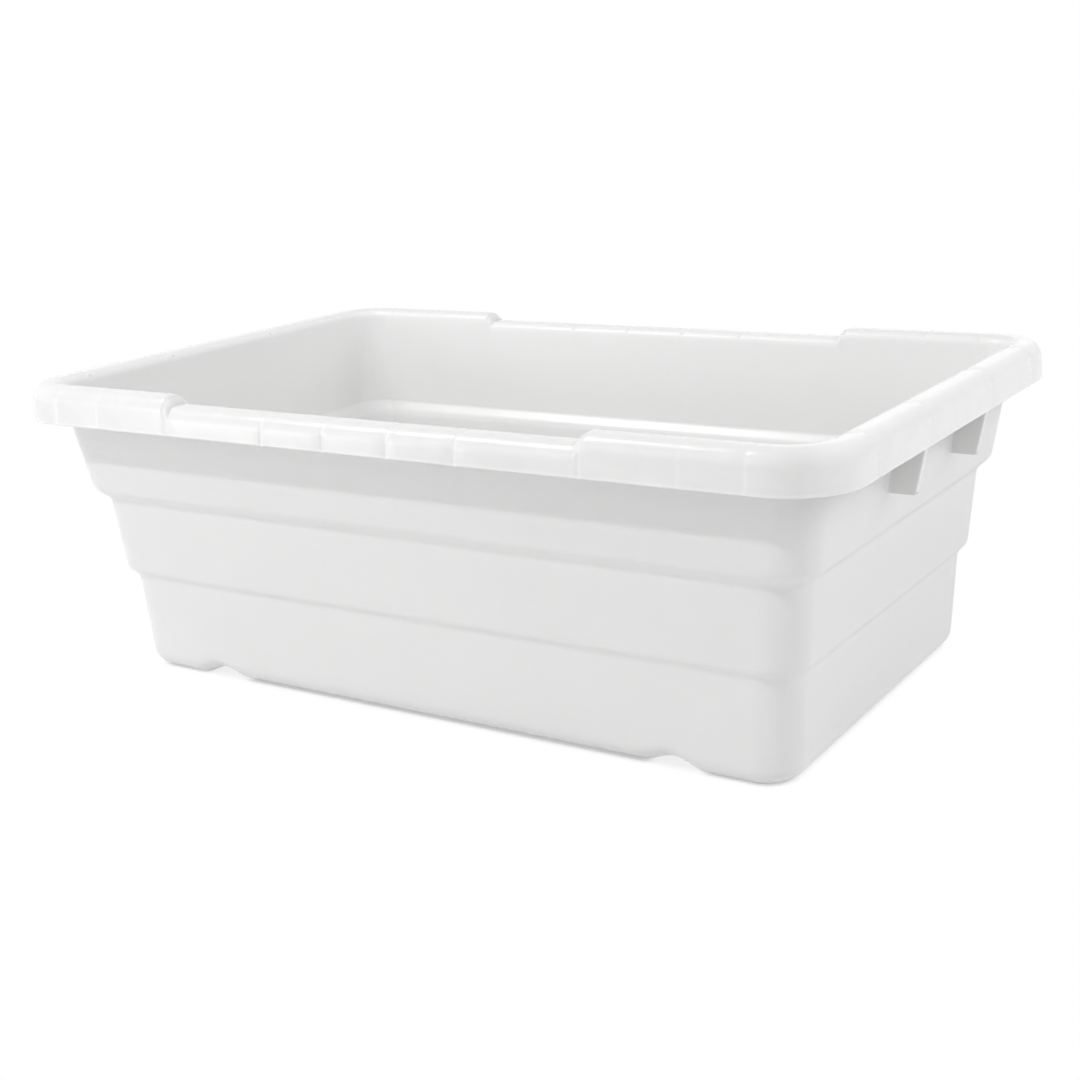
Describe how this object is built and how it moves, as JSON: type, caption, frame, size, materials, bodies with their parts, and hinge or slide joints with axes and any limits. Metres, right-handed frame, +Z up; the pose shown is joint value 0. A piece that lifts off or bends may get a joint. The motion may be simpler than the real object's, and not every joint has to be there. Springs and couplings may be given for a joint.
{
  "type": "meat lug",
  "caption": "Open white plastic cross-stacking tub with stepped walls, a rolled rim with lowered side rails, hand grips under the end rims and channels across the base.",
  "frame": {"origin": "centre of the footprint, on the surface the tub stands on", "axes": "+X along the length towards the right end, +Y across the width towards the back, +Z up"},
  "size_m": [0.6378, 0.4058, 0.222],
  "materials": {
    "white_polyethylene": "satin moulded white polyethylene"
  },
  "bodies": {
    "root": {"back_left_corner_wall": "white_polyethylene", "back_left_end_rib": "white_polyethylene", "back_left_handle_gusset": "white_polyethylene", "back_left_rim_corner": "white_polyethylene", "back_left_rim_ramp": "white_polyethylene", "back_left_side_rib_1": "white_polyethylene", "back_left_side_rib_2": "white_polyethylene", "back_left_side_rib_3": "white_polyethylene", "back_left_side_rib_4": "white_polyethylene", "back_left_side_rib_5": "white_polyethylene", "back_right_corner_wall": "white_polyethylene", "back_right_end_rib": "white_polyethylene", "back_right_handle_gusset": "white_polyethylene", "back_right_rim_corner": "white_polyethylene", "back_right_rim_ramp": "white_polyethylene", "back_right_side_rib_1": "white_polyethylene", "back_right_side_rib_2": "white_polyethylene", "back_right_side_rib_3": "white_polyethylene", "back_right_side_rib_4": "white_polyethylene", "back_right_side_rib_5": "white_polyethylene", "back_stacking_rail": "white_polyethylene", "back_wall": "white_polyethylene", "centre_floor": "white_polyethylene", "front_left_corner_wall": "white_polyethylene", "front_left_end_rib": "white_polyethylene", "front_left_handle_gusset": "white_polyethylene", "front_left_rim_corner": "white_polyethylene", "front_left_rim_ramp": "white_polyethylene", "front_left_side_rib_1": "white_polyethylene", "front_left_side_rib_2": "white_polyethylene", "front_left_side_rib_3": "white_polyethylene", "front_left_side_rib_4": "white_polyethylene", "front_left_side_rib_5": "white_polyethylene", "front_right_corner_wall": "white_polyethylene", "front_right_end_rib": "white_polyethylene", "front_right_handle_gusset": "white_polyethylene", "front_right_rim_corner": "white_polyethylene", "front_right_rim_ramp": "white_polyethylene", "front_right_side_rib_1": "white_polyethylene", "front_right_side_rib_2": "white_polyethylene", "front_right_side_rib_3": "white_polyethylene", "front_right_side_rib_4": "white_polyethylene", "front_right_side_rib_5": "white_polyethylene", "front_stacking_rail": "white_polyethylene", "front_wall": "white_polyethylene", "left_end_floor": "white_polyethylene", "left_end_wall": "white_polyethylene", "left_handle_rail": "white_polyethylene", "left_stacking_channel": "white_polyethylene", "right_end_floor": "white_polyethylene", "right_end_wall": "white_polyethylene", "right_handle_rail": "white_polyethylene", "right_stacking_channel": "white_polyethylene"}
  },
  "joints": []
}
